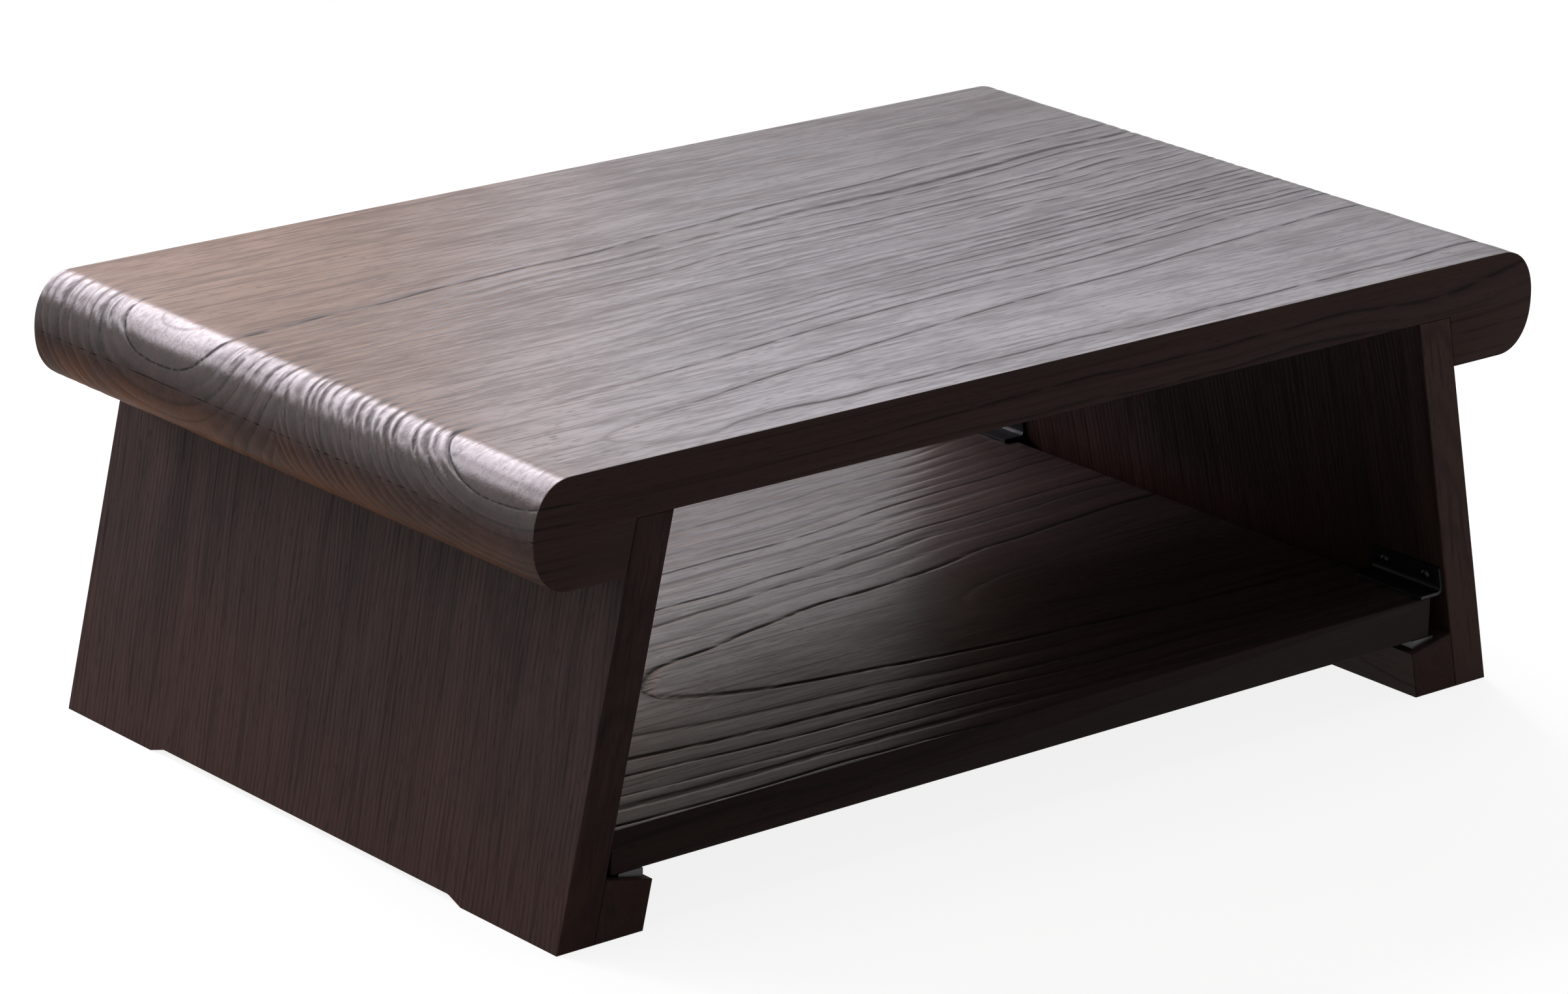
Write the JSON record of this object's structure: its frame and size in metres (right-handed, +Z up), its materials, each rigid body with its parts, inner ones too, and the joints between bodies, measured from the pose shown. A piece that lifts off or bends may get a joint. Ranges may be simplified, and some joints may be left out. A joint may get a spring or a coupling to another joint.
{
  "type": "low tea table",
  "caption": "Low tea table with a thick top and rolled ends, solid leg panels that splay outwards, and a loose shelf that slides out along rails near the floor.",
  "frame": {"origin": "on the floor, under the middle of the top", "axes": "+X along the table to the right seen from the front, +Y from the front to the back, +Z up"},
  "size_m": [0.8, 0.495, 0.286],
  "materials": {
    "stained_wood": "dark brown stained wood with a brushed, raised grain and a satin lacquer",
    "dowel_beech": "bare beech",
    "plated_steel": "dark plated steel",
    "dark_nylon": "smooth dark nylon"
  },
  "bodies": {
    "table": {"top_board": "stained_wood", "end_block_left": "stained_wood", "end_block_right": "stained_wood", "leg_panel_left": "stained_wood", "leg_panel_right": "stained_wood", "shelf_rail_left": "stained_wood", "shelf_rail_right": "stained_wood", "shelf_pad_front_left": "dark_nylon", "shelf_pad_rear_left": "dark_nylon", "shelf_pad_front_right": "dark_nylon", "shelf_pad_rear_right": "dark_nylon", "shelf_clip_front_right": "plated_steel", "shelf_clip_rear_right": "plated_steel", "clip_screw_front_right_1": "plated_steel", "clip_screw_front_right_2": "plated_steel", "clip_screw_rear_right_1": "plated_steel", "clip_screw_rear_right_2": "plated_steel", "leg_dowel_left_1": "dowel_beech", "leg_dowel_left_2": "dowel_beech", "leg_dowel_left_3": "dowel_beech", "leg_dowel_left_4": "dowel_beech", "leg_dowel_right_1": "dowel_beech", "leg_dowel_right_2": "dowel_beech", "leg_dowel_right_3": "dowel_beech", "leg_dowel_right_4": "dowel_beech", "rail_dowel_left_1": "dowel_beech", "rail_dowel_left_2": "dowel_beech", "rail_dowel_left_3": "dowel_beech", "rail_dowel_right_1": "dowel_beech", "rail_dowel_right_2": "dowel_beech", "rail_dowel_right_3": "dowel_beech"},
    "shelf": {"shelf_board": "stained_wood"}
  },
  "joints": [
    {"name": "shelf_slide", "type": "slide", "parent": "table", "child": "shelf", "axis": [0, -1, 0], "range_m": [-0.24, 0.24]}
  ]
}
